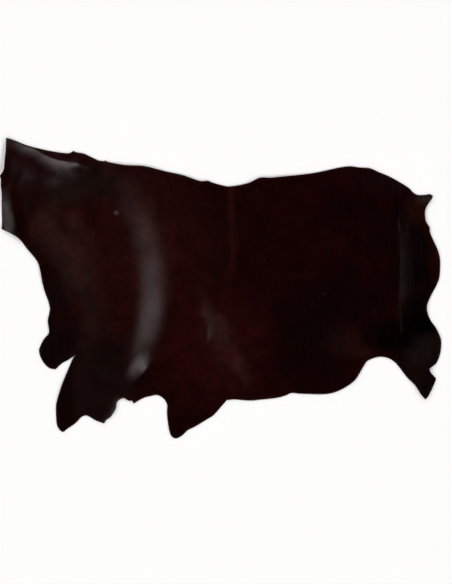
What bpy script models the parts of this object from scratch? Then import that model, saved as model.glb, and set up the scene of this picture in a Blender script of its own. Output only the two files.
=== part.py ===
"""A leather side: half of a tanned cattle hide, laid out flat with its grain face up.

The side was cut along the backbone, so its top edge is nearly straight.  The neck end is at -X,
the rump and the tail root are at +X, the foreleg and brisket flaps hang down at the left of the
lower edge, the belly runs along it and the hind shank ends it at the right.  Most of the sheet
lies dead flat; a few soft folds that it kept from being rolled and shipped stand up from it.

Metres, +Z up.  The origin is under the middle of the side, on the surface that it lies on.
"""

import bmesh
import bpy
from mathutils import Vector

# Driving dimensions, in metres
LENGTH = 1.985          # from the neck end to the rump
WIDTH = 1.352           # from the top of the neck to the tip of the brisket flap
THICKNESS = 0.002       # upholstery hide, 5 oz

# Fineness of the faces, in metres
CELL = 0.027            # distance between the lines of the mesh
EDGE_STEP = 0.025       # longest straight stretch of the cut edge
MERGE = 0.0015          # points of the mesh closer than this become one
FOLD_STEP = 0.015       # distance between the points of a fold's crest

LEATHER_COLOUR = (0.030, 0.006, 0.005, 1.0)
LEATHER_ROUGHNESS = 0.34

# The cut edge, clockwise from the top corner of the neck.  Each row is one stretch, named for
# the part of the hide that it borders, and its points (x, y) are in millimetres from the neck
# end and from the lowest tip.  A smooth curve joins the points of a stretch; where one stretch
# meets the next, the edge has a sharp corner.
DRAWN_LENGTH = 1985.0
DRAWN_WIDTH = 1352.0
EDGE = (
    ("neck_top", (
        (29, 1352), (68, 1340), (117, 1320), (180, 1303), (248, 1289), (293, 1283), (315, 1284),
        (331, 1294))),
    ("withers", (
        (331, 1294), (342, 1288), (378, 1281), (405, 1269), (441, 1252), (468, 1247),
        (477, 1251))),
    ("back_front", (
        (477, 1251), (486, 1244), (531, 1235), (576, 1229), (630, 1227), (675, 1220),
        (743, 1202), (810, 1188), (855, 1174), (887, 1162), (914, 1157), (936, 1159),
        (959, 1150), (1015, 1135), (1044, 1134))),
    ("back_rear", (
        (1044, 1134), (1080, 1140), (1125, 1152), (1170, 1173), (1215, 1173), (1269, 1178),
        (1350, 1186), (1418, 1195), (1485, 1209), (1530, 1219), (1575, 1224), (1620, 1219),
        (1665, 1215), (1710, 1196), (1755, 1177), (1800, 1152), (1841, 1126), (1859, 1107),
        (1881, 1095), (1910, 1095), (1935, 1098), (1948, 1091))),
    ("rump", (
        (1948, 1091), (1944, 1079), (1933, 1063), (1919, 1042), (1913, 1023), (1913, 1000),
        (1917, 976), (1933, 951))),
    ("thigh", (
        (1933, 951), (1936, 924), (1951, 890), (1970, 847), (1980, 807), (1981, 775),
        (1978, 730), (1967, 694), (1940, 643), (1923, 604), (1922, 573), (1936, 535),
        (1962, 496), (1982, 451), (1985, 420), (1980, 379), (1964, 339), (1942, 321),
        (1932, 313))),
    ("hock", (
        (1932, 313), (1937, 298), (1953, 280), (1962, 271))),
    ("shank_rear", (
        (1962, 271), (1958, 256), (1942, 220), (1926, 188), (1913, 175))),
    ("flank_and_belly", (
        (1913, 175), (1891, 202), (1868, 238), (1832, 274), (1800, 316), (1773, 346),
        (1742, 363), (1706, 367), (1676, 359), (1652, 347), (1634, 321), (1616, 289),
        (1598, 262), (1575, 243), (1539, 221), (1503, 206), (1463, 199), (1404, 199),
        (1350, 201), (1312, 204), (1283, 192), (1238, 181), (1179, 175), (1125, 170),
        (1058, 175), (1021, 172))),
    ("brisket_flap", (
        (1021, 172), (990, 136), (959, 103), (923, 80), (878, 53), (846, 37), (819, 12),
        (792, 0), (772, 10), (762, 37), (755, 82), (752, 118), (753, 148), (745, 168),
        (729, 185), (707, 195), (675, 190), (644, 181), (601, 156))),
    ("foreleg_inner", (
        (601, 156), (595, 169), (578, 170), (558, 181), (540, 175), (526, 161), (522, 136),
        (511, 114), (497, 95), (479, 83), (469, 67))),
    ("foreleg_outer", (
        (469, 67), (428, 82), (405, 96), (387, 103), (367, 96), (340, 68), (302, 42),
        (286, 29), (271, 36), (257, 60), (253, 105), (253, 150), (265, 199), (284, 255),
        (307, 310), (325, 352), (337, 372))),
    ("throat_flap", (
        (337, 372), (306, 352), (279, 337), (250, 310))),
    ("throat", (
        (250, 310), (223, 316), (203, 333), (185, 361), (176, 393), (182, 415), (198, 447),
        (218, 470), (221, 487), (216, 528), (222, 562), (225, 586), (216, 622), (201, 663),
        (189, 712), (181, 757), (171, 791), (153, 817), (122, 853), (99, 884), (79, 904),
        (45, 924), (18, 937), (6, 943))),
    ("neck_end_lower", (
        (6, 943), (10, 960), (9, 1050), (9, 1099), (5, 1135), (5, 1167), (0, 1179))),
    ("neck_end_upper", (
        (0, 1179), (14, 1198), (20, 1216), (23, 1252), (27, 1297), (28, 1342), (29, 1352))),
)

# The folds.  A fold is a long soft ridge: its crest runs through the points (x, y, height), in
# millimetres, and on each side of the crest the sheet comes down to the surface within a reach.
# Facing along the crest, "left" and "right" name the sides.  Round is how rounded the sheet is
# over the crest on that side (1 is a sharp crease), and toe is how gently it meets the surface
# (1 is a sharp line).
FOLDS = (
    # name, crest, left: reach, round, toe, right: reach, round, toe
    ("shoulder_fold",
     ((650, 1250, 2), (672, 1150, 5), (696, 1059, 8), (717, 1005, 11), (751, 915, 15.3),
      (782, 802, 18.4), (788, 667, 20.2), (781, 532, 22.3), (759, 420, 19.3), (738, 330, 14),
      (726, 262, 9), (712, 200, 0)),
     (125, 1.6, 2.0), (200, 2.35, 3.0)),
    ("elbow_pucker",
     ((710, 360, 0), (697, 345, 2), (684, 330, 5), (670, 314, 8), (655, 295, 9), (639, 274, 8),
      (620, 252, 6), (598, 230, 3), (578, 210, 0)),
     (22, 1.3, 1.6), (82, 1.2, 1.6)),
    ("neck_end_roll",
     ((22, 1135, 0), (45, 1090, 3.8), (63, 1018, 6.7), (77, 955, 7.7), (86, 900, 4.8)),
     (45, 1.6, 1.6), (58, 1.9, 1.1)),
    ("neck_top_fold",
     ((-60, 1290, 10), (20, 1245, 11), (72, 1217, 12), (112, 1206, 12.4), (153, 1182, 13.4),
      (203, 1160, 13.4), (248, 1148, 13.3), (284, 1138, 13.2), (324, 1131, 12), (360, 1122, 9),
      (410, 1116, 4), (460, 1115, 0)),
     (108, 2.2, 1.0), (175, 1.7, 2.0)),
    ("withers_swell",
     ((150, 1200, 0), (225, 1173, 1.4), (275, 1158, 3.6), (320, 1158, 4), (370, 1168, 0)),
     (75, 1.6, 1.6), (150, 1.5, 1.8)),
    ("foreleg_fold",
     ((905, 720, 0), (937, 640, 2), (963, 580, 4), (986, 530, 6.3), (995, 490, 7),
      (992, 452, 5.6), (979, 402, 2), (960, 350, 0)),
     (110, 1.9, 2.0), (60, 2.4, 1.0)),
    ("roll_mark",
     ((1854, 1060, 0), (1857, 964, 5.6), (1859, 847, 8.7), (1859, 690, 9.6), (1857, 630, 9.6),
      (1852, 585, 6.5), (1843, 541, 4.8), (1832, 450, 0)),
     (90, 1.5, 2.0), (66, 1.2, 1.0)),
    ("thigh_swell",
     ((1948, 520, 0), (1944, 440, 6), (1925, 350, 5), (1918, 255, 6), (1905, 190, 4)),
     (55, 1.6, 1.8), (95, 1.5, 1.9)),
    ("tail_swell",
     ((1868, 1085, 0), (1905, 1055, 4), (1935, 1062, 4)),
     (40, 1.5, 1.8), (60, 1.5, 1.8)),
)


def clear_scene():
    """Remove every object that the file starts with."""
    for item in list(bpy.data.objects):
        bpy.data.objects.remove(item, do_unlink=True)


def to_metres(x, y):
    """Turn a place drawn in millimetres into one on the scaled sheet, about its middle."""
    return Vector(((x / DRAWN_LENGTH - 0.5) * LENGTH, (y / DRAWN_WIDTH - 0.5) * WIDTH))


def smooth_curve(points, step):
    """Points no further apart than step on a smooth curve through the given points."""
    ends = [points[0] * 2 - points[1]] + list(points) + [points[-1] * 2 - points[-2]]
    curve = [points[0]]
    for before, start, stop, after in zip(ends, ends[1:], ends[2:], ends[3:]):
        count = max(1, round((stop - start).length / step))
        for index in range(1, count + 1):
            t = index / count
            curve.append(0.5 * (2 * start + (stop - before) * t
                                + (2 * before - 5 * start + 4 * stop - after) * t ** 2
                                + (3 * start - before - 3 * stop + after) * t ** 3))
    return curve


def edge_loop():
    """The whole cut edge as one closed ring of points, counter-clockwise seen from above."""
    ring = []
    for _, drawn in EDGE:
        stretch = smooth_curve([to_metres(x, y) for x, y in drawn], EDGE_STEP)
        ring.extend(stretch[:-1])
    ring.reverse()
    return ring


class Fold:
    """One soft ridge of the sheet."""

    def __init__(self, name, crest, left, right):
        self.name = name
        drawn = [Vector((*to_metres(x, y), height * 0.001)) for x, y, height in crest]
        self.crest = smooth_curve(drawn, FOLD_STEP)
        self.left = self.in_metres(left)
        self.right = self.in_metres(right)

    @staticmethod
    def in_metres(side):
        reach, roundness, toe = side
        return reach * 0.001, roundness, toe

    def height(self, place):
        """How far this fold lifts the sheet at a place seen from above."""
        nearest = None
        for start, stop in zip(self.crest, self.crest[1:]):
            along = stop.xy - start.xy
            share = (place - start.xy).dot(along) / along.length_squared
            share = min(1.0, max(0.0, share))
            offset = place - (start.xy + along * share)
            if nearest is None or offset.length < nearest[0]:
                turn = along.x * offset.y - along.y * offset.x
                nearest = (offset.length, turn, start.z + (stop.z - start.z) * share)
        distance, turn, top = nearest
        reach, roundness, toe = self.left if turn > 0.0 else self.right
        if distance >= reach or top <= 0.0:
            return 0.0
        return top * (1.0 - (distance / reach) ** roundness) ** toe


def to_middle(mesh):
    """The small step in X and Y that brings the middle of the sheet's box over the origin."""
    low, high = (Vector((pick(vert.co.x for vert in mesh.verts),
                         pick(vert.co.y for vert in mesh.verts), 0.0)) for pick in (min, max))
    return (low + high) / -2


def add_sheet():
    """The hide as one sheet of even thickness, cut to its edge and lying in its folds."""
    mesh = bmesh.new()
    ring = [mesh.verts.new((point.x, point.y, 0.0)) for point in edge_loop()]
    mesh.faces.new(ring)
    for axis, size in ((Vector((1, 0, 0)), LENGTH), (Vector((0, 1, 0)), WIDTH)):
        lines = int(size / CELL)
        for line in range(lines + 1):
            bmesh.ops.bisect_plane(
                mesh,
                geom=mesh.verts[:] + mesh.edges[:] + mesh.faces[:],
                dist=0.00001,
                plane_co=axis * (line - lines / 2) * CELL,
                plane_no=axis)
    bmesh.ops.remove_doubles(mesh, verts=mesh.verts[:], dist=MERGE)
    bmesh.ops.triangulate(mesh, faces=mesh.faces[:])
    folds = [Fold(*row) for row in FOLDS]
    for vert in mesh.verts:
        vert.co.z = sum(fold.height(vert.co.xy) for fold in folds)
    bmesh.ops.translate(mesh, verts=mesh.verts[:], vec=to_middle(mesh))
    data = bpy.data.meshes.new("hide")
    mesh.to_mesh(data)
    mesh.free()
    sheet = bpy.data.objects.new("hide", data)
    bpy.context.collection.objects.link(sheet)
    return sheet


def add_thickness(sheet):
    """Give the sheet its thickness upwards, so that its flesh face stays on the surface."""
    skin = sheet.modifiers.new("thickness", "SOLIDIFY")
    skin.thickness = THICKNESS
    skin.offset = 1.0
    skin.use_rim = True


def leather():
    """Glossy, nearly black oxblood leather."""
    material = bpy.data.materials.new("oxblood_leather")
    material.use_nodes = True
    shader = material.node_tree.nodes["Principled BSDF"]
    shader.inputs["Base Color"].default_value = LEATHER_COLOUR
    shader.inputs["Roughness"].default_value = LEATHER_ROUGHNESS
    shader.inputs["Metallic"].default_value = 0.0
    material.diffuse_color = LEATHER_COLOUR
    return material


clear_scene()
hide = add_sheet()
add_thickness(hide)
hide.data.materials.append(leather())
hide.data.shade_smooth()
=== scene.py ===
import math

import bmesh
import bpy
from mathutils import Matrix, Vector, kdtree, noise


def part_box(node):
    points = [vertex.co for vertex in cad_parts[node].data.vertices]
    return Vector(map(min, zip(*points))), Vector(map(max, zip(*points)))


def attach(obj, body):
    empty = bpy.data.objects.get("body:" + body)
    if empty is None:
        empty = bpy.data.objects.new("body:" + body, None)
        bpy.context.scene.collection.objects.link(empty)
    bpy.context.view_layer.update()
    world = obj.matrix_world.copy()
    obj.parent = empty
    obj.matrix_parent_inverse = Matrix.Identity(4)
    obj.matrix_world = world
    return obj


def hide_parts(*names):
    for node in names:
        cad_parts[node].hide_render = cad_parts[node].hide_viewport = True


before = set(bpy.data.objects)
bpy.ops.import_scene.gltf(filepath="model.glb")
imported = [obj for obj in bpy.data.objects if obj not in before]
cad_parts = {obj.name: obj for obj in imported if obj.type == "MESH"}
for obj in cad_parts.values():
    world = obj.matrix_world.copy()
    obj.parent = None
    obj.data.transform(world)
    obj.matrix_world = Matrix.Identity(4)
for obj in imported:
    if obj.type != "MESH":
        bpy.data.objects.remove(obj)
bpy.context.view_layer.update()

# ---------------------------------------------------------------------------------------------
# The side's cut edge.
# A side is half of a cattle hide, split along the backbone after tanning.  The top edge is that
# straight knife cut; the rest follows the skin as it was flayed, with the neck at the left, the
# throat, foreleg and brisket flaps at the lower left, and the belly, hind shank and tail root
# to the right.  Points are in millimetres from the neck end and from the lowest tip; a smooth
# curve joins the points of a stretch, and the edge has a sharp corner where two stretches meet.
# ---------------------------------------------------------------------------------------------
MM = 0.001
EDGE_STEP = 0.006
EDGE = (
    ("neck_top", (
        (29, 1352), (68, 1340), (117, 1320), (180, 1303), (248, 1289), (293, 1283), (315, 1284),
        (331, 1294))),
    ("withers", (
        (331, 1294), (342, 1288), (378, 1281), (405, 1269), (441, 1252), (468, 1247),
        (477, 1251))),
    ("back_front", (
        (477, 1251), (486, 1244), (531, 1235), (576, 1229), (630, 1227), (675, 1220),
        (743, 1202), (810, 1188), (855, 1174), (887, 1162), (914, 1157), (936, 1159),
        (959, 1150), (1015, 1135), (1044, 1134))),
    ("back_rear", (
        (1044, 1134), (1080, 1140), (1125, 1152), (1170, 1173), (1215, 1173), (1269, 1178),
        (1350, 1186), (1418, 1195), (1485, 1209), (1530, 1219), (1575, 1224), (1620, 1219),
        (1665, 1215), (1710, 1196), (1755, 1177), (1800, 1152), (1841, 1126), (1859, 1107),
        (1881, 1095), (1910, 1095), (1935, 1098), (1948, 1091))),
    ("rump", (
        (1948, 1091), (1944, 1079), (1933, 1063), (1919, 1042), (1913, 1023), (1913, 1000),
        (1917, 976), (1933, 951))),
    ("thigh", (
        (1933, 951), (1936, 924), (1951, 890), (1970, 847), (1980, 807), (1981, 775),
        (1978, 730), (1967, 694), (1940, 643), (1923, 604), (1922, 573), (1936, 535),
        (1962, 496), (1982, 451), (1985, 420), (1980, 379), (1964, 339), (1942, 321),
        (1932, 313))),
    ("hock", (
        (1932, 313), (1937, 298), (1953, 280), (1962, 271))),
    ("shank_rear", (
        (1962, 271), (1958, 256), (1942, 220), (1926, 188), (1913, 175))),
    ("flank_and_belly", (
        (1913, 175), (1891, 202), (1868, 238), (1832, 274), (1800, 316), (1773, 346),
        (1742, 363), (1706, 367), (1676, 359), (1652, 347), (1634, 321), (1616, 289),
        (1598, 262), (1575, 243), (1539, 221), (1503, 206), (1463, 199), (1404, 199),
        (1350, 201), (1312, 204), (1283, 192), (1238, 181), (1179, 175), (1125, 170),
        (1058, 175), (1021, 172))),
    ("brisket_flap", (
        (1021, 172), (990, 136), (959, 103), (923, 80), (878, 53), (846, 37), (819, 12),
        (792, 0), (772, 10), (762, 37), (755, 82), (752, 118), (753, 148), (745, 168),
        (729, 185), (707, 195), (675, 190), (644, 181), (601, 156))),
    ("foreleg_inner", (
        (601, 156), (595, 169), (578, 170), (558, 181), (540, 175), (526, 161), (522, 136),
        (511, 114), (497, 95), (479, 83), (469, 67))),
    ("foreleg_outer", (
        (469, 67), (428, 82), (405, 96), (387, 103), (367, 96), (340, 68), (302, 42),
        (286, 29), (271, 36), (257, 60), (253, 105), (253, 150), (265, 199), (284, 255),
        (307, 310), (325, 352), (337, 372))),
    ("throat_flap", (
        (337, 372), (306, 352), (279, 337), (250, 310))),
    ("throat", (
        (250, 310), (223, 316), (203, 333), (185, 361), (176, 393), (182, 415), (198, 447),
        (218, 470), (221, 487), (216, 528), (222, 562), (225, 586), (216, 622), (201, 663),
        (189, 712), (181, 757), (171, 791), (153, 817), (122, 853), (99, 884), (79, 904),
        (45, 924), (18, 937), (6, 943))),
    ("neck_end_lower", (
        (6, 943), (10, 960), (9, 1050), (9, 1099), (5, 1135), (5, 1167), (0, 1179))),
    ("neck_end_upper", (
        (0, 1179), (14, 1198), (20, 1216), (23, 1252), (27, 1297), (28, 1342), (29, 1352))),
)
side_low, side_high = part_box("hide")
side_corner = Vector((side_low.x, side_low.y))


def on_side(x, y):
    """A place drawn in millimetres on the side, as a place over the CAD side, in metres."""
    return side_corner + Vector((x, y)) * MM


def smooth_curve(points, step):
    """Points no further apart than step on a smooth curve through the given points."""
    ends = [points[0] * 2 - points[1]] + list(points) + [points[-1] * 2 - points[-2]]
    curve = [points[0]]
    for before, start, stop, after in zip(ends, ends[1:], ends[2:], ends[3:]):
        count = max(1, round((stop - start).length / step))
        for index in range(1, count + 1):
            t = index / count
            curve.append(0.5 * (2 * start + (stop - before) * t
                                + (2 * before - 5 * start + 4 * stop - after) * t ** 2
                                + (3 * start - before - 3 * stop + after) * t ** 3))
    return curve


cut_edge = []
for stretch, drawn in EDGE:
    cut_edge.extend(smooth_curve([on_side(x, y) for x, y in drawn], EDGE_STEP)[:-1])
cut_edge.reverse()

# ---------------------------------------------------------------------------------------------
# The folds.
# The side was rolled and shipped, and kept a few long soft folds when it was laid out.  Each
# row's crest runs through the points (x, y, height), in millimetres; to the left and to the
# right of it, looking along it, the leather comes down to the floor within a reach.  Round is
# how rounded it is over the crest (1 is a sharp crease) and toe how gently it meets the floor
# (1 is a sharp line).
# ---------------------------------------------------------------------------------------------
FOLD_STEP = 0.005
FOLDS = (
    # name, crest, left: reach, round, toe, right: reach, round, toe
    ("shoulder_fold",
     ((650, 1250, 2), (672, 1150, 5), (696, 1059, 8), (717, 1005, 11), (751, 915, 15.3),
      (782, 802, 18.4), (788, 667, 20.2), (781, 532, 22.3), (759, 420, 19.3), (738, 330, 14),
      (726, 262, 9), (712, 200, 0)),
     (125, 1.6, 2.0), (200, 2.35, 3.0)),
    ("elbow_pucker",
     ((710, 360, 0), (697, 345, 2), (684, 330, 5), (670, 314, 8), (655, 295, 9), (639, 274, 8),
      (620, 252, 6), (598, 230, 3), (578, 210, 0)),
     (22, 1.3, 1.6), (82, 1.2, 1.6)),
    ("neck_end_roll",
     ((22, 1135, 0), (45, 1090, 3.8), (63, 1018, 6.7), (77, 955, 7.7), (86, 900, 4.8)),
     (45, 1.6, 1.6), (58, 1.9, 1.1)),
    ("neck_top_fold",
     ((-60, 1290, 10), (20, 1245, 11), (72, 1217, 12), (112, 1206, 12.4), (153, 1182, 13.4),
      (203, 1160, 13.4), (248, 1148, 13.3), (284, 1138, 13.2), (324, 1131, 12), (360, 1122, 9),
      (410, 1116, 4), (460, 1115, 0)),
     (108, 2.2, 1.0), (175, 1.7, 2.0)),
    ("withers_swell",
     ((150, 1200, 0), (225, 1173, 1.4), (275, 1158, 3.6), (320, 1158, 4), (370, 1168, 0)),
     (75, 1.6, 1.6), (150, 1.5, 1.8)),
    ("withers_pucker",
     ((268, 1212, 0), (319, 1224, 2.5), (350, 1230, 3), (382, 1242, 0)),
     (36, 1.6, 1.4), (45, 1.6, 1.8)),
    ("foreleg_fold",
     ((905, 720, 0), (937, 640, 2), (963, 580, 4), (986, 530, 6.3), (995, 490, 7),
      (992, 452, 5.6), (979, 402, 2), (960, 350, 0)),
     (110, 1.9, 2.0), (60, 2.4, 1.0)),
    ("centre_crease",
     ((1055, 1153, 1), (1055, 1072, 1.3), (1054, 892, 1.3), (1053, 757, 1), (1049, 622, 0)),
     (30, 1.3, 1.6), (45, 1.0, 2.0)),
    ("roll_mark",
     ((1854, 1060, 0), (1857, 964, 5.6), (1859, 847, 8.7), (1859, 690, 9.6), (1857, 630, 9.6),
      (1852, 585, 6.5), (1843, 541, 4.8), (1832, 450, 0)),
     (90, 1.5, 2.0), (66, 1.2, 1.0)),
    ("thigh_swell",
     ((1948, 520, 0), (1944, 440, 6), (1925, 350, 5), (1918, 255, 6), (1905, 190, 4)),
     (55, 1.6, 1.8), (95, 1.5, 1.9)),
    ("tail_swell",
     ((1868, 1085, 0), (1905, 1055, 4), (1935, 1062, 4)),
     (40, 1.5, 1.8), (60, 1.5, 1.8)),
)


class Fold:
    """One soft ridge of the sheet."""

    def __init__(self, crest, left, right):
        drawn = [Vector((*on_side(x, y), height * MM)) for x, y, height in crest]
        self.crest = smooth_curve(drawn, FOLD_STEP)
        self.left = (left[0] * MM, *left[1:])
        self.right = (right[0] * MM, *right[1:])
        widest = max(self.left[0], self.right[0])
        self.low = [min(point[axis] for point in self.crest) - widest for axis in (0, 1)]
        self.high = [max(point[axis] for point in self.crest) + widest for axis in (0, 1)]

    def height(self, place):
        """How far this fold lifts the sheet at a place seen from above."""
        if not all(self.low[axis] < place[axis] < self.high[axis] for axis in (0, 1)):
            return 0.0
        nearest = (math.inf, 0.0, 0.0)
        for start, stop in zip(self.crest, self.crest[1:]):
            along = stop.xy - start.xy
            share = min(1.0, max(0.0, (place - start.xy).dot(along) / along.length_squared))
            offset = place - (start.xy + along * share)
            if offset.length < nearest[0]:
                turn = along.x * offset.y - along.y * offset.x
                nearest = (offset.length, turn, start.z + (stop.z - start.z) * share)
        distance, turn, top = nearest
        reach, roundness, toe = self.left if turn > 0.0 else self.right
        if distance >= reach or top <= 0.0:
            return 0.0
        return top * (1.0 - (distance / reach) ** roundness) ** toe


folds = [Fold(crest, left, right) for name, crest, left, right in FOLDS]

# ---------------------------------------------------------------------------------------------
# The tones.
# No hide takes the dye evenly: the neck and shoulder are duller, the belly and legs drink more
# of it and dry brown, and dust greys the shank and the tail root.  Some patches are painted
# light instead: the grey and redder patches along the lit flanks of the shoulder fold, the
# elbow fold and the centre crease and over the left of the neck are painted sheen, and the
# near-black patches at the hock and the thigh are painted shade.  Each patch has its middle
# and half-widths in millimetres, its lean (how far it shifts in x for each step in y), how much
# of the dye's colour it keeps, and how much dust and how much brown it adds; the painted
# patches use the same columns to paint their sheen and shade.
# ---------------------------------------------------------------------------------------------
TONES = (
    # name, x, y, half x, half y, lean, dye and painted light, dust and painted light, brown
    ("shoulder", 430, 720, 660, 830, 0.0, 1.55, 0.08, 0.0),
    # painted sheen: redder and greyer over the shoulder fold's highlight band
    ("fold_red_painted_sheen", 655, 830, 200, 480, 0.0, 1.2, 0.15, 0.0),
    # painted sheen: a grey haze over the left of the neck
    ("neck_painted_sheen", 300, 890, 170, 360, -0.3, 1.1, 0.42, 0.0),
    ("neck_smudge", 360, 1140, 260, 130, 0.0, 0.4, 0.45, 0.1),
    ("neck_end_rust", 90, 1130, 130, 230, 0.0, 1.15, -0.4, 0.35),
    ("neck_end_dark", 75, 970, 80, 190, 0.0, 0.7, -0.4, 0.1),
    ("shoulder_rust", 800, 892, 260, 440, -0.2, 1.35, 0.1, 0.2),
    ("throat_stain", 240, 660, 130, 290, -0.2, 0.45, -0.25, 0.35),
    ("throat_flap", 220, 410, 190, 200, 0.0, 0.3, -0.35, 0.35),
    ("chest_dust", 370, 620, 150, 260, -0.3, 0.85, 0.25, 0.1),
    ("armpit_stain", 474, 375, 115, 115, 0.0, 0.65, -0.15, 0.3),
    ("foreleg_dust", 400, 270, 370, 340, 0.0, 0.45, 0.25, 0.2),
    ("foreleg_rim", 275, 150, 90, 290, 0.0, 0.7, -0.3, 0.3),
    ("foreleg_tip", 385, 115, 120, 60, 0.0, 0.9, 0.1, 0.0),
    ("chest_red", 990, 400, 340, 390, 0.0, 1.75, 0.15, 0.0),
    # painted sheen: grey along the elbow fold's highlight and the soft patch beside it
    ("elbow_fold_painted_sheen", 938, 560, 62, 160, -0.45, 1.1, 0.42, 0.0),
    ("elbow_painted_sheen", 990, 465, 95, 100, -0.3, 1.0, 0.4, 0.0),
    ("chest_bloom", 1025, 370, 85, 170, -0.1, 1.15, 0.4, 0.0),
    ("chest_line", 1060, 375, 26, 100, 0.0, 1.3, 0.25, 0.0),
    ("brisket_bloom", 1098, 305, 48, 120, 0.0, 1.1, 0.45, 0.0),
    ("roll_dust", 1822, 770, 60, 280, 0.0, 0.65, 0.0, 0.1),
    ("roll_spot", 1813, 967, 16, 30, 0.0, 0.1, -0.5, -0.5),
    # painted sheen: redder and greyer along the lit flank of the centre crease
    ("centre_crease_painted_sheen", 1045, 950, 40, 340, 0.0, 1.8, 0.2, 0.1),
    ("loin_stain", 1543, 1044, 150, 115, 0.3, 0.65, 0.0, 0.25),
    ("back_stain", 1737, 960, 175, 280, 0.0, 0.65, 0.0, 0.25),
    ("rump_stain", 1590, 620, 280, 230, 0.0, 0.6, 0.0, 0.2),
    ("belly_stain", 1375, 490, 230, 250, 0.0, 0.5, 0.0, 0.35),
    ("flank_stain", 1430, 330, 230, 230, -0.3, 0.75, 0.0, 0.2),
    ("belly_bloom", 1590, 430, 175, 125, -0.4, 1.15, 0.3, 0.0),
    ("thigh_dull", 1885, 620, 140, 680, 0.0, 0.22, 0.05, 0.2),
    ("thigh_rim", 1958, 852, 60, 200, 0.0, 1.6, 0.1, 0.0),
    # painted shade: near-black patches that take away the dye, the grey and the brown
    ("hock_shadow", 1765, 462, 190, 115, 0.0, 0.1, -0.5, -0.5),
    ("thigh_shadow", 1908, 510, 90, 75, 0.0, 0.1, -0.8, -0.5),
    ("hock_dust", 1908, 411, 140, 120, 0.4, 0.7, 0.4, 0.0),
    ("shank_dust", 1881, 289, 160, 230, 0.0, 0.5, 0.22, 0.1),
    ("tail_dust", 1922, 1075, 55, 45, 0.0, 0.35, 0.8, 0.0),
    ("tail_red", 1880, 1025, 80, 110, 0.0, 1.8, 0.1, 0.0),
    ("backbone_dust", 1764, 1158, 210, 90, -0.3, 0.65, 0.25, 0.15),
)
RAGGED = ((5.0, 0.030), (14.0, 0.014), (40.0, 0.006))   # swirls a metre, most in metres
BLOTCHES = ((13.0, 0.7), (31.0, 0.5))                   # blotches a metre, most as a share
BLOTCH_LAYER = 3.0                                      # where in the noise they are read
TONE_EDGE = 1.15                                        # over 1, a patch is full in its middle


def tone_at(place):
    """How dyed, greyed and browned the grain face is at a place seen from above."""
    moved = place.copy()
    for scale, most in RAGGED:
        moved += most * noise.noise_vector((*(place * scale), scale)).xy
    blotch = 1.0
    for scale, most in BLOTCHES:
        blotch += most * noise.noise((*(place * scale), BLOTCH_LAYER))
    # The dye and dust sums also carry the patches of painted sheen and painted shade.
    dye_and_painted_light, dust_and_painted_light, brown = 1.0, 0.0, 0.0
    for name, x, y, half_x, half_y, lean, own_dye_and_painted_light, own_dust_and_painted_light, own_brown in TONES:
        offset = (moved - on_side(x, y)) / MM
        spread = math.hypot((offset.x - lean * offset.y) / half_x, offset.y / half_y)
        if spread < 1.0:
            share = min(1.0, TONE_EDGE * blotch * (1.0 - spread ** 2) ** 2)
            dye_and_painted_light *= 1.0 + (own_dye_and_painted_light - 1.0) * share
            dust_and_painted_light += own_dust_and_painted_light * share
            brown += own_brown * share
    return dye_and_painted_light, max(0.0, dust_and_painted_light), min(1.0, max(0.0, brown))


# ---------------------------------------------------------------------------------------------
# The leather.
# One sheet of 2 mm chrome-tanned cowhide, cut to the edge above and lying in its folds.  The
# mesh is the cut shape, sliced into cells of 7 mm, lifted into the folds and given a thickness
# upwards, so that its flesh face stays on the floor.  Here and there a stretch of the edge curls
# up and the skin stands a little off the floor, as a dry hide does.
# ---------------------------------------------------------------------------------------------
THICKNESS = 0.002
CELL = 0.007
SNAP = 0.00001                                          # a slice this near a point goes through it
MERGE = 0.0001                                          # points closer than this become one
WAVES = ((6.5, 0.0011), (15.0, 0.0004))                 # waves a metre, most in metres
CURL_REACH = 0.045
CURL_HEIGHT = 0.006
CURL_SCALE = 5.5                                        # curls a metre
CURL_LAYER = 7.0                                        # where in the noise they are read
RUB_REACH = 0.014
GRAIN, FLESH, CUT = range(3)                            # the faces' places among the materials

edge_tree = kdtree.KDTree(len(cut_edge))
for index, point in enumerate(cut_edge):
    edge_tree.insert((point.x, point.y, 0.0), index)
edge_tree.balance()


def from_edge(place):
    """How far a place seen from above is from the cut edge."""
    return edge_tree.find((place.x, place.y, 0.0))[2]


def lift(place):
    """How far the flesh face stands off the floor at a place seen from above."""
    height = sum(fold.height(place) for fold in folds)
    for scale, most in WAVES:
        height += most * max(0.0, noise.noise((*(place * scale), scale))) ** 2
    curl = max(0.0, noise.noise((*(place * CURL_SCALE), CURL_LAYER)))
    return height + CURL_HEIGHT * curl * max(0.0, 1.0 - from_edge(place) / CURL_REACH) ** 2


def rubbed(place):
    """How worn the finish is at a place seen from above: 1 along the cut edge, then less."""
    return max(0.0, 1.0 - from_edge(place) / RUB_REACH)


sheet = bmesh.new()
sheet.faces.new([sheet.verts.new((point.x, point.y, 0.0)) for point in cut_edge])
for axis in (0, 1):
    direction = Vector((1 - axis, axis, 0))
    for line in range(1, math.ceil((side_high[axis] - side_low[axis]) / CELL)):
        bmesh.ops.bisect_plane(
            sheet,
            geom=sheet.verts[:] + sheet.edges[:] + sheet.faces[:],
            dist=SNAP,
            plane_co=direction * (side_low[axis] + line * CELL),
            plane_no=direction)
bmesh.ops.remove_doubles(sheet, verts=sheet.verts[:], dist=MERGE)
tone = sheet.verts.layers.float_color.new("tone")
for vert in sheet.verts:
    vert[tone] = (*tone_at(vert.co.xy), rubbed(vert.co.xy))
    vert.co.z = lift(vert.co.xy)
for face in sheet.faces:
    face.smooth = True
for edge in sheet.edges:
    edge.smooth = not edge.is_boundary
hide_mesh = bpy.data.meshes.new("leather_side")
sheet.to_mesh(hide_mesh)
sheet.free()
hide = bpy.data.objects.new("leather_side", hide_mesh)
bpy.context.collection.objects.link(hide)

skin = hide.modifiers.new("thickness", "SOLIDIFY")
skin.thickness = THICKNESS
skin.offset = 1.0
skin.material_offset = FLESH
skin.material_offset_rim = CUT


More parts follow.
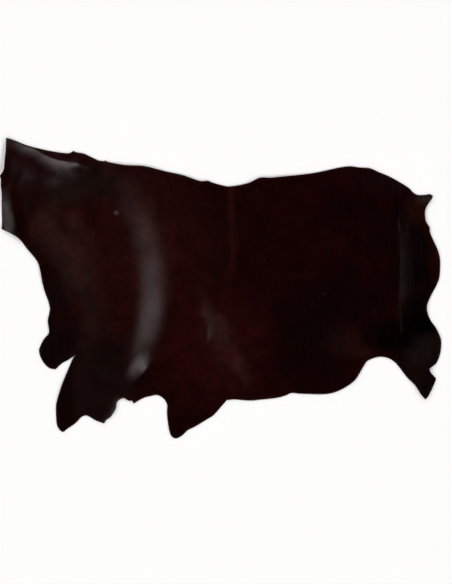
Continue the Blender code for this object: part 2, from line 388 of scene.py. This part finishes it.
class Shading:
    """Adds nodes to a material's or a group's tree.  A value is a plain value or a socket."""

    def __init__(self, tree):
        self.tree = tree

    def put(self, socket, value):
        if isinstance(value, bpy.types.NodeSocket):
            self.tree.links.new(value, socket)
        else:
            socket.default_value = value

    def add(self, kind, values=(), **settings):
        """A node of a kind, with its sockets' values and its settings."""
        node = self.tree.nodes.new(kind)
        for name, setting in settings.items():
            setattr(node, name, setting)
        for socket, value in dict(values).items():
            self.put(node.inputs[socket], value)
        return node

    def math(self, operation, *values):
        return self.add("ShaderNodeMath", enumerate(values), operation=operation).outputs[0]

    def vector(self, operation, *values, output=0):
        node = self.add("ShaderNodeVectorMath", enumerate(values), operation=operation)
        return node.outputs[output]

    def scaled(self, vector, factor):
        values = {"Vector": vector, "Scale": factor}
        return self.add("ShaderNodeVectorMath", values, operation="SCALE").outputs[0]

    def noise(self, place, scale, detail=2.0, roughness=0.5):
        values = {"Vector": place, "Scale": scale, "Detail": detail, "Roughness": roughness}
        return self.add("ShaderNodeTexNoise", values).outputs["Fac"]

    def fade(self, value, start, stop, low=0.0, high=1.0):
        """Low below start, high above stop and a smooth way between them."""
        values = {"Value": value, "From Min": start, "From Max": stop,
                  "To Min": low, "To Max": high}
        kind = "SMOOTHSTEP"
        return self.add("ShaderNodeMapRange", values, interpolation_type=kind).outputs[0]

    def blend(self, factor, first, second):
        values = {0: factor, 6: first, 7: second}
        return self.add("ShaderNodeMix", values, data_type="RGBA").outputs[2]

    def use(self, group, **values):
        """A node of a group, and its outputs."""
        return self.add("ShaderNodeGroup", values, node_tree=group).outputs

    def bump(self, height):
        """A normal from a height in millimetres."""
        values = {"Strength": 1.0, "Distance": MM, "Height": height}
        return self.add("ShaderNodeBump", values).outputs["Normal"]


def new_material(name):
    """An empty material, its Shading and its Principled BSDF."""
    material = bpy.data.materials.new(name)
    material.use_nodes = True
    return material, Shading(material.node_tree), material.node_tree.nodes["Principled BSDF"]


def new_group(name, takes, gives):
    """An empty node group, its Shading, what it takes and what it gives."""
    group = bpy.data.node_groups.new(name, "ShaderNodeTree")
    for way, sockets in (("INPUT", takes), ("OUTPUT", gives)):
        for socket, kind in sockets.items():
            group.interface.new_socket(socket, in_out=way, socket_type=f"NodeSocket{kind}")
    shading = Shading(group)
    inputs = shading.add("NodeGroupInput").outputs
    return group, shading, inputs, shading.add("NodeGroupOutput").inputs


# How evenly the leather drank its dye: slow clouds with small flecks in them.
CLOUD_SIZE, FLECK_SIZE = 13.0, 130.0
dye_cloud, shading, takes, gives = new_group(
    "dye_cloud", {"Place": "Vector", "Depth": "Float"}, {"Gain": "Float"})
cloud = shading.noise(takes["Place"], CLOUD_SIZE, 6.0, 0.68)
fleck = shading.noise(takes["Place"], FLECK_SIZE, 3.0, 0.6)
uneven = shading.math("ADD", shading.fade(cloud, 0.36, 0.64, -1.0, 1.0),
                      shading.fade(fleck, 0.32, 0.68, -0.6, 0.6))
shading.put(gives["Gain"], shading.math("MULTIPLY_ADD", uneven, takes["Depth"], 1.0))

# Leather fibres: short strands that lie every way, the stuff of the nap and of a raw cut.
BENDS_A_STRAND, BEND_REACH = 0.25, 2.2
fibres, shading, takes, gives = new_group(
    "fibres", {"Place": "Vector", "Size": "Float"}, {"Strand": "Float"})
bend = shading.add("ShaderNodeTexNoise", {
    "Vector": takes["Place"],
    "Scale": shading.math("MULTIPLY", takes["Size"], BENDS_A_STRAND)})
bend = shading.scaled(bend.outputs["Color"], shading.math("DIVIDE", BEND_REACH, takes["Size"]))
strand = shading.noise(shading.vector("ADD", takes["Place"], bend), takes["Size"], 4.0, 0.7)
shading.put(gives["Strand"], shading.fade(strand, 0.35, 0.68))

# A small mark: a dot, or a scratch from start to end, ragged and fading at its border.
MARK_RAGS = 160.0
mark, shading, takes, gives = new_group(
    "mark", {"Place": "Vector", "Start": "Vector", "End": "Vector", "Width": "Float"},
    {"Mask": "Float"})
along = shading.vector("SUBTRACT", takes["End"], takes["Start"])
reach = shading.vector("SUBTRACT", takes["Place"], takes["Start"])
share = shading.math("DIVIDE", shading.vector("DOT_PRODUCT", reach, along, output=1),
                     shading.vector("DOT_PRODUCT", along, along, output=1))
share = shading.add("ShaderNodeClamp", {"Value": share}).outputs[0]
gap = shading.vector("LENGTH", shading.vector("SUBTRACT", reach, shading.scaled(along, share)),
                     output=1)
ragged = shading.fade(shading.noise(takes["Place"], MARK_RAGS, 3.0), 0.2, 0.8, 0.8, 1.2)
gap = shading.math("DIVIDE", shading.math("MULTIPLY", gap, ragged), takes["Width"])
shading.put(gives["Mask"], shading.fade(gap, 0.2, 1.0, 1.0, 0.0))

# The grain face: glossy pigmented oxblood, so deep that it reads as black where it is flat.  The
# pigment is thin over the swells of the grain and pools in its creases; fine wrinkles run across
# the neck and along the folds, and a few scars and specks show through.
OXBLOOD = (0.0068, 0.0004, 0.0005)
BROWN = (0.0038, 0.0011, 0.0005, 1)
# The grey of dust, also laid on as painted sheen along the fold highlights.
DUST_AND_SHEEN_GREY = (0.0060, 0.0048, 0.0037)
RUBBED = (0.0150, 0.0045, 0.0030, 1)
MARKS = (
    # name, start x, y, end x, y, half width in millimetres, added red, green and blue
    ("dull_scar", 523, 1015, 525, 1015, 15.0, 0.0160, 0.0220, 0.0240),
    ("neck_speck", 268, 1031, 269, 1031, 8.0, 0.0080, 0.0050, 0.0050),
    ("shoulder_speck", 470, 1052, 471, 1058, 6.0, 0.0070, 0.0045, 0.0045),
    ("neck_scratch", 420, 922, 421, 903, 3.6, 0.0270, 0.0140, 0.0150),
    ("chest_speck", 430, 600, 431, 600, 9.0, 0.0030, 0.0012, 0.0012),
    ("loin_speck", 1154, 1117, 1155, 1117, 11.0, 0.0040, 0.0018, 0.0006),
    ("rib_speck", 1190, 802, 1191, 802, 13.0, 0.0040, 0.0014, 0.0005),
    ("flank_speck", 1456, 652, 1457, 652, 11.0, 0.0040, 0.0042, 0.0034),
    ("flank_dot", 1406, 606, 1407, 606, 10.0, 0.0028, 0.0015, 0.0012),
    ("rump_nick", 1794, 985, 1797, 935, 10.0, 0.0040, 0.0028, 0.0022),
    ("rump_nick_low", 1832, 965, 1830, 920, 9.0, 0.0042, 0.0033, 0.0026),
    ("belly_vein", 1444, 424, 1498, 244, 9.0, 0.0008, 0.0007, 0.0005),
    ("elbow_line", 668, 312, 682, 262, 8.0, 0.0060, 0.0026, 0.0026),
    ("thigh_line", 1800, 600, 1806, 480, 12.0, 0.0030, 0.0030, 0.0022),
)
# Sizes are how many there are in a metre, heights are in millimetres.
PEBBLE_SIZE, PEBBLE_HEIGHT = 620.0, 0.016
PEBBLE_CREASE = 0.22
WOBBLE_SIZE, WOBBLE = 300.0, 0.002
PORE_SIZE, PORE_HEIGHT = 2100.0, 0.005
WRINKLE_SIZE, WRINKLE_HEIGHT = 26.0, 0.36
WRINKLE_STRETCH = (1.0, 0.35, 1.0)
BRUSH_SIZE = (55.0, 7.0, 1.0)
ROLLED_FROM, ROLLED_TO = 0.35, 0.80
ROLLED_HEIGHT, ROLLED_GAIN = 0.07, 0.35
UNEVEN_GRAIN = 0.24
CREASE_GAIN, SWELL_GAIN = 0.82, 1.03
WEAR_SIZE = 120.0
SCUFF_SIZE = (9.0, 60.0, 9.0)
GLOSS = 0.14
DUST_AND_SHEEN_DULLS, SCUFF_DULLS, SCAR_DULLS, WEAR_DULLS = 0.12, 0.05, 0.02, 0.35
grain, shading, shader = new_material("oxblood_grain")
place = shading.add("ShaderNodeTexCoord").outputs["Object"]
tone = shading.add("ShaderNodeAttribute", attribute_name="tone").outputs
tones = shading.add("ShaderNodeSeparateColor", {"Color": tone["Color"]}).outputs
wobble = shading.math("MULTIPLY", shading.noise(place, WOBBLE_SIZE), WOBBLE)
pebbles = shading.add("ShaderNodeTexVoronoi", {
    "Vector": shading.vector("ADD", place, shading.scaled((1, 1, 1), wobble)),
    "Scale": PEBBLE_SIZE}, feature="DISTANCE_TO_EDGE").outputs["Distance"]
pebbles = shading.fade(pebbles, 0.0, PEBBLE_CREASE)
gain = shading.use(dye_cloud, Place=place, Depth=UNEVEN_GRAIN)["Gain"]
# Grey from the tones: real dust, and painted sheen along the fold highlights and over the neck.
dust_and_sheen_colour = shading.scaled(DUST_AND_SHEEN_GREY, shading.math("MULTIPLY", gain, tones[1]))
brushed = shading.fade(shading.noise(
    shading.vector("MULTIPLY", place, BRUSH_SIZE), 1.0, 5.0, 0.7), 0.38, 0.62, 0.1, 1.9)
along = shading.add("ShaderNodeSeparateXYZ", {"Vector": place}).outputs["X"]
rolled = shading.fade(along, ROLLED_FROM, ROLLED_TO)
streaks = shading.math("MULTIPLY", shading.math("SUBTRACT", brushed, 1.0), rolled)
gain = shading.math("MULTIPLY", gain,
                    shading.math("MULTIPLY_ADD", streaks, ROLLED_GAIN, 1.0))
gain = shading.math("MULTIPLY", gain,
                    shading.fade(pebbles, 0.0, 1.0, CREASE_GAIN, SWELL_GAIN))
# The dye's share from the tones, darkened to painted shade at the hock and the thigh.
colour = shading.scaled(OXBLOOD, shading.math("MULTIPLY", gain, tones[0]))
brown = shading.math("MULTIPLY", tones[2], brushed)
colour = shading.blend(brown, colour, BROWN)
colour = shading.vector("ADD", colour, dust_and_sheen_colour)
scars = 0.0
for name, start_x, start_y, end_x, end_y, width, *added in MARKS:
    mask = shading.use(mark, Place=place, Start=(*on_side(start_x, start_y), 0.0),
                       End=(*on_side(end_x, end_y), 0.0), Width=width * MM)["Mask"]
    colour = shading.vector("ADD", colour, shading.scaled(added, mask))
    scars = shading.math("ADD", scars, mask)
worn = shading.math("MULTIPLY", tone["Alpha"], shading.fade(
    shading.noise(place, WEAR_SIZE, 4.0, 0.7), 0.4, 0.7))
colour = shading.blend(worn, colour, RUBBED)
shading.put(shader.inputs["Base Color"], colour)

scuffs = shading.fade(shading.noise(
    shading.vector("MULTIPLY", place, SCUFF_SIZE), 1.0, 6.0, 0.7), 0.5, 0.75)
dull = shading.math("MULTIPLY_ADD", tones[1], DUST_AND_SHEEN_DULLS, GLOSS)
dull = shading.math("MULTIPLY_ADD", scuffs, SCUFF_DULLS, dull)
dull = shading.math("MULTIPLY_ADD", scars, SCAR_DULLS, dull)
dull = shading.math("MULTIPLY_ADD", worn, WEAR_DULLS, dull)
shading.put(shader.inputs["Roughness"], dull)

wrinkles = shading.add("ShaderNodeTexNoise", {
    "Vector": shading.vector("MULTIPLY", place, WRINKLE_STRETCH), "Scale": WRINKLE_SIZE,
    "Detail": 4.0, "Roughness": 0.55, "Distortion": 0.8}).outputs["Fac"]
height = shading.math("MULTIPLY", wrinkles, WRINKLE_HEIGHT)
height = shading.math("MULTIPLY_ADD", streaks, ROLLED_HEIGHT, height)
height = shading.math("MULTIPLY_ADD", pebbles, PEBBLE_HEIGHT, height)
height = shading.math("MULTIPLY_ADD", shading.noise(place, PORE_SIZE), PORE_HEIGHT, height)
shading.put(shader.inputs["Normal"], shading.bump(height))
hide_mesh.materials.append(grain)

# The flesh face: the split side, ground to a short suede nap.  It is browner and paler than the
# grain, with stretches that were buffed more and faint marks of the veins.
NAP_DARK = (0.0360, 0.0120, 0.0095, 1)
NAP_PALE = (0.0900, 0.0360, 0.0270, 1)
VEIN = (0.0260, 0.0085, 0.0070, 1)
NAP_SIZE, NAP_HEIGHT = 520.0, 0.12
BUFF_SIZE = (6.0, 17.0, 6.0)
BUFF_SHARE, NAP_SHARE = 0.55, 0.45
UNEVEN_FLESH = 0.16
VEIN_SIZE, VEIN_HEIGHT = 5.5, -0.25
VEIN_WIDTH = 0.028
VEIN_BEND_SIZE, VEIN_BEND = 9.0, 0.09
VEIN_PATCH_SIZE = 4.0
flesh, shading, shader = new_material("suede_flesh")
place = shading.add("ShaderNodeTexCoord").outputs["Object"]
nap = shading.use(fibres, Place=place, Size=NAP_SIZE)["Strand"]
buffed = shading.fade(shading.noise(
    shading.vector("MULTIPLY", place, BUFF_SIZE), 1.0, 5.0, 0.65), 0.35, 0.65)
pale = shading.math("MULTIPLY_ADD", buffed, BUFF_SHARE,
                    shading.math("MULTIPLY", nap, NAP_SHARE))
colour = shading.blend(pale, NAP_DARK, NAP_PALE)
gain = shading.use(dye_cloud, Place=place, Depth=UNEVEN_FLESH)["Gain"]
colour = shading.scaled(colour, gain)
bent = shading.add("ShaderNodeTexNoise", {
    "Vector": place, "Scale": VEIN_BEND_SIZE, "Detail": 3.0})
bent = shading.vector("ADD", place, shading.scaled(bent.outputs["Color"], VEIN_BEND))
veins = shading.add("ShaderNodeTexVoronoi", {"Vector": bent, "Scale": VEIN_SIZE},
                    feature="DISTANCE_TO_EDGE").outputs["Distance"]
veins = shading.math("MULTIPLY", shading.fade(veins, 0.0, VEIN_WIDTH, 1.0, 0.0),
                     shading.fade(shading.noise(place, VEIN_PATCH_SIZE), 0.45, 0.6, 0.0, 0.6))
colour = shading.blend(veins, colour, VEIN)
shading.put(shader.inputs["Base Color"], colour)
shading.put(shader.inputs["Roughness"], shading.fade(pale, 0.0, 1.0, 0.86, 0.97))
height = shading.math("MULTIPLY_ADD", nap, NAP_HEIGHT,
                      shading.math("MULTIPLY", veins, VEIN_HEIGHT))
shading.put(shader.inputs["Normal"], shading.bump(height))
shader.inputs["Sheen Weight"].default_value = 0.25
shader.inputs["Sheen Roughness"].default_value = 0.6
shader.inputs["Sheen Tint"].default_value = (0.55, 0.33, 0.28, 1)
hide_mesh.materials.append(flesh)

# The cut edge: raw fibres, dark strands struck through with dye among paler ones.
EDGE_DARK = (0.0100, 0.0030, 0.0025, 1)
EDGE_PALE = (0.0500, 0.0190, 0.0130, 1)
FIBRE_SIZE, FIBRE_HEIGHT = 900.0, 0.1
FIBRE_SQUEEZE = (1.0, 1.0, 2.5)
UNEVEN_EDGE = 0.25
cut, shading, shader = new_material("cut_edge")
place = shading.add("ShaderNodeTexCoord").outputs["Object"]
strand = shading.use(fibres, Place=shading.vector("MULTIPLY", place, FIBRE_SQUEEZE),
                     Size=FIBRE_SIZE)["Strand"]
gain = shading.use(dye_cloud, Place=place, Depth=UNEVEN_EDGE)["Gain"]
colour = shading.scaled(shading.blend(strand, EDGE_DARK, EDGE_PALE), gain)
height = shading.math("MULTIPLY", strand, FIBRE_HEIGHT)
shading.put(shader.inputs["Base Color"], colour)
shading.put(shader.inputs["Roughness"], shading.fade(strand, 0.0, 1.0, 0.72, 0.92))
shading.put(shader.inputs["Normal"], shading.bump(height))
hide_mesh.materials.append(cut)

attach(hide, "root")
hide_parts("hide")

# ---------------------------------------------------------------------------------------------
# The studio: a pale paper floor, a sky that is dark overhead and pale at the horizon, with two
# soft glows in it that draw the folds, four broad fill lamps that light the floor evenly, and
# the camera straight above the side.
# ---------------------------------------------------------------------------------------------
FLOOR_SIZE = 60.0
FLOOR_GAP = 0.0003
PAPER = (0.85, 0.85, 0.85, 1)
floor_shape = bmesh.new()
bmesh.ops.create_grid(floor_shape, x_segments=1, y_segments=1, size=FLOOR_SIZE / 2)
bmesh.ops.translate(floor_shape, verts=floor_shape.verts[:], vec=(0, 0, -FLOOR_GAP))
floor_mesh = bpy.data.meshes.new("studio_floor")
floor_shape.to_mesh(floor_mesh)
floor_shape.free()
floor = bpy.data.objects.new("studio_floor", floor_mesh)
bpy.context.collection.objects.link(floor)
paper, shading, shader = new_material("pale_paper")
shader.inputs["Base Color"].default_value = PAPER
shader.inputs["Roughness"].default_value = 0.9
floor_mesh.materials.append(paper)


def overhead(azimuth, off_zenith, distance=1.0):
    """A place in the room by compass direction west of +Y and by angle from straight up."""
    turn, lean = math.radians(azimuth), math.radians(off_zenith)
    return (-math.sin(turn) * math.sin(lean) * distance,
            math.cos(turn) * math.sin(lean) * distance,
            math.cos(lean) * distance)


SKY_LOW, SKY_HIGH = 0.8, 0.0064                         # light near the horizon and overhead
SKY_FADE = (0.05, 0.36)                                 # sines of the heights between the two
GLOW_TINT = (1.0, 0.93, 0.88)
GLOWS = (
    # azimuth, off zenith, spread in degrees, strength
    (70, 28, 6.0, 2.75),
    (0, 36, 6.0, 3.75),
)
sky = bpy.data.worlds.new("studio_sky")
bpy.context.scene.world = sky
sky.use_nodes = True
shading = Shading(sky.node_tree)
toward = shading.add("ShaderNodeTexCoord").outputs["Generated"]
height = shading.add("ShaderNodeSeparateXYZ", {"Vector": toward}).outputs["Z"]
light = shading.scaled((1, 1, 1), shading.fade(height, *SKY_FADE, SKY_LOW, SKY_HIGH))
for azimuth, off_zenith, spread, strength in GLOWS:
    facing = shading.vector("DOT_PRODUCT", toward, overhead(azimuth, off_zenith), output=1)
    slack = shading.math("DIVIDE", shading.math("SUBTRACT", facing, 1.0),
                         math.radians(spread) ** 2)
    glow = shading.math("MULTIPLY", shading.math("EXPONENT", slack), strength)
    light = shading.vector("ADD", light, shading.scaled(GLOW_TINT, glow))
shading.put(sky.node_tree.nodes["Background"].inputs["Color"], light)

FILL_AZIMUTHS = (45, 135, 225, 315)                     # degrees
FILL_OFF_ZENITH = 66                                    # degrees
FILL_ANGLE = 28                                         # degrees across
FILL_DISTANCE = 7.0
FILL_ENERGY = 1.97
for index, azimuth in enumerate(FILL_AZIMUTHS):
    lamp = bpy.data.lights.new(f"fill_light_{index}", "SUN")
    lamp.angle = math.radians(FILL_ANGLE)
    lamp.energy = FILL_ENERGY
    fill = bpy.data.objects.new(lamp.name, lamp)
    fill.location = overhead(azimuth, FILL_OFF_ZENITH, FILL_DISTANCE)
    fill.rotation_euler = fill.location.to_track_quat("Z", "Y").to_euler()
    fill.visible_glossy = False
    bpy.context.collection.objects.link(fill)

LENS = 85.0                                             # millimetres
SENSOR = 36.0                                           # millimetres
VIEW_HEIGHT = 2.628                                     # metres of floor in the frame
VIEW_MIDDLE = (0.0247, -0.0176)
FARTHEST = 200.0
camera_data = bpy.data.cameras.new("camera")
camera_data.lens = LENS
camera_data.sensor_width = SENSOR
camera_data.clip_end = FARTHEST
camera = bpy.data.objects.new("camera", camera_data)
camera.location = (*VIEW_MIDDLE, VIEW_HEIGHT * LENS / SENSOR)
bpy.context.collection.objects.link(camera)
bpy.context.scene.camera = camera
bpy.context.scene.view_settings.view_transform = "Standard"
